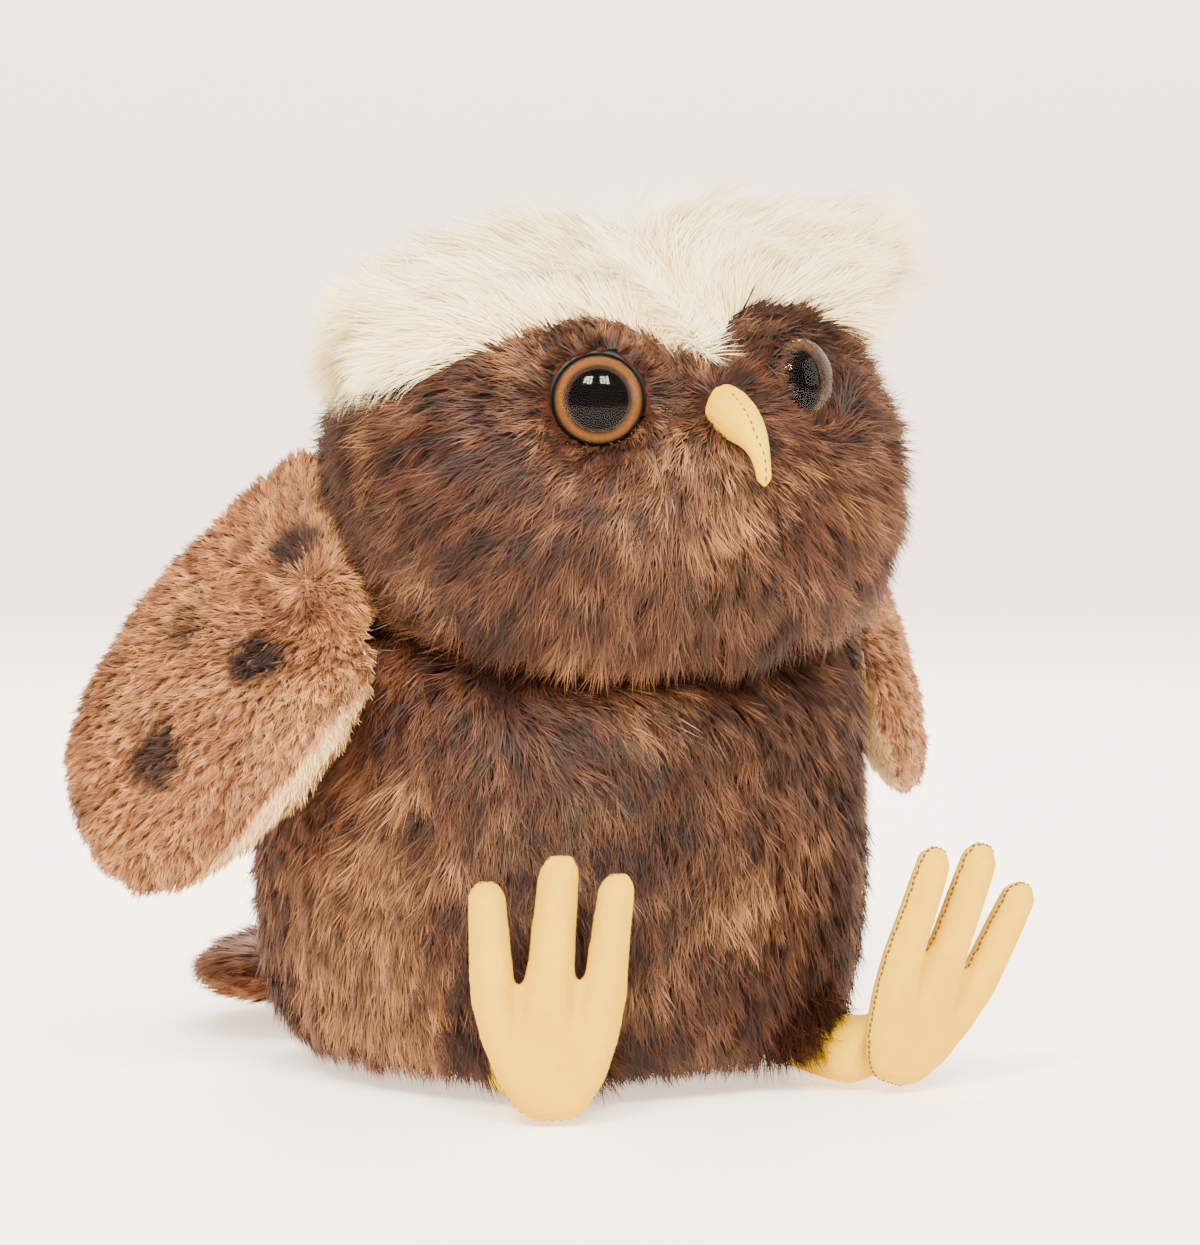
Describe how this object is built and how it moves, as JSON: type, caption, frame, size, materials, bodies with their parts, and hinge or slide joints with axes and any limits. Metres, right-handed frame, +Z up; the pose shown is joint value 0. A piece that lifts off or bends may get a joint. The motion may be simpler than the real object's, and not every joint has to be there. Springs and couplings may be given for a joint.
{
  "type": "plush owl",
  "caption": "Sitting stuffed owl with a turning head, raised brows, plastic eyes, felt beak and feet, wings that swing and a weighted flat base.",
  "frame": {"origin": "middle of the flat base panel, on the floor under the neck's centre", "axes": "+Z up, -Y the way the body faces, -X towards the owl's own right wing"},
  "size_m": [0.2683, 0.2468, 0.2385],
  "materials": {
    "brown_plush": "medium pile",
    "tan_plush": "short pile",
    "cream_lining": "short pile",
    "white_plush": "long pile",
    "fibre": "loose fibre",
    "calico": "plain weave",
    "felt": "matt felt",
    "thread": "matt",
    "eye_lens": "clear polished",
    "eye_iris": "gloss",
    "eye_pupil": "gloss",
    "eye_rim": "matt",
    "nylon": "matt"
  },
  "bodies": {
    "root": {"body_front_panel": "brown_plush", "body_back_left_panel": "brown_plush", "body_back_right_panel": "brown_plush", "base_panel": "brown_plush", "body_stuffing": "fibre", "pellet_pouch": "calico", "neck_thread": "thread"},
    "head": {"face_panel": "brown_plush", "brow_left": "white_plush", "brow_right": "white_plush", "head_back_left_panel": "brown_plush", "head_back_right_panel": "brown_plush", "head_stuffing": "fibre", "eye_lens_right": "eye_lens", "eye_iris_right": "eye_iris", "eye_pupil_right": "eye_pupil", "eye_rim_right": "eye_rim", "eye_washer_right": "nylon", "eye_lens_left": "eye_lens", "eye_iris_left": "eye_iris", "eye_pupil_left": "eye_pupil", "eye_rim_left": "eye_rim", "eye_washer_left": "nylon", "beak_cover": "felt", "beak_stuffing": "fibre", "beak_thread": "thread"},
    "right_wing": {"wing_right_outer_panel": "tan_plush", "wing_right_lining": "cream_lining", "wing_right_stuffing": "fibre"},
    "left_wing": {"wing_left_outer_panel": "tan_plush", "wing_left_lining": "cream_lining", "wing_left_stuffing": "fibre"},
    "tail": {"tail_top_panel": "brown_plush", "tail_under_panel": "tan_plush", "tail_stuffing": "fibre"},
    "right_leg": {"foot_right_sole": "felt", "foot_right_upper": "felt", "foot_right_stuffing": "fibre", "foot_right_thread": "thread", "leg_right": "felt"},
    "left_leg": {"foot_left_sole": "felt", "foot_left_upper": "felt", "foot_left_stuffing": "fibre", "foot_left_thread": "thread", "leg_left": "felt"}
  },
  "joints": [
    {"name": "head_turn", "type": "hinge", "parent": "root", "child": "head", "pos_m": [0, 0, 0.14], "axis": [-0.0698, -0.3248, 0.9432], "range_deg": [-8, 10], "stiffness_Nm_per_rad": 0.8},
    {"name": "right_wing_swing", "type": "hinge", "parent": "root", "child": "right_wing", "pos_m": [-0.07644, -0.016, 0.129], "axis": [-0.1884, 0.8865, 0.4226], "range_deg": [-5, 60], "stiffness_Nm_per_rad": 0.2},
    {"name": "left_wing_swing", "type": "hinge", "parent": "root", "child": "left_wing", "pos_m": [0.08044, -0.016, 0.129], "axis": [0.1336, 0.6287, 0.766], "range_deg": [-60, 5], "stiffness_Nm_per_rad": 0.2},
    {"name": "tail_lift", "type": "hinge", "parent": "root", "child": "tail", "pos_m": [-0.01062, 0.07556, 0.0148], "axis": [0.9903, 0.1392, 0], "range_deg": [-3, 30], "stiffness_Nm_per_rad": 0.2},
    {"name": "right_leg_splay", "type": "hinge", "parent": "root", "child": "right_leg", "pos_m": [-0.044, -0.0777, 0.0095], "axis": [0, 0, 1], "range_deg": [-12, 12], "stiffness_Nm_per_rad": 0.1},
    {"name": "left_leg_splay", "type": "hinge", "parent": "root", "child": "left_leg", "pos_m": [0.044, -0.0777, 0.0095], "axis": [0, 0, 1], "range_deg": [-12, 12], "stiffness_Nm_per_rad": 0.1}
  ]
}
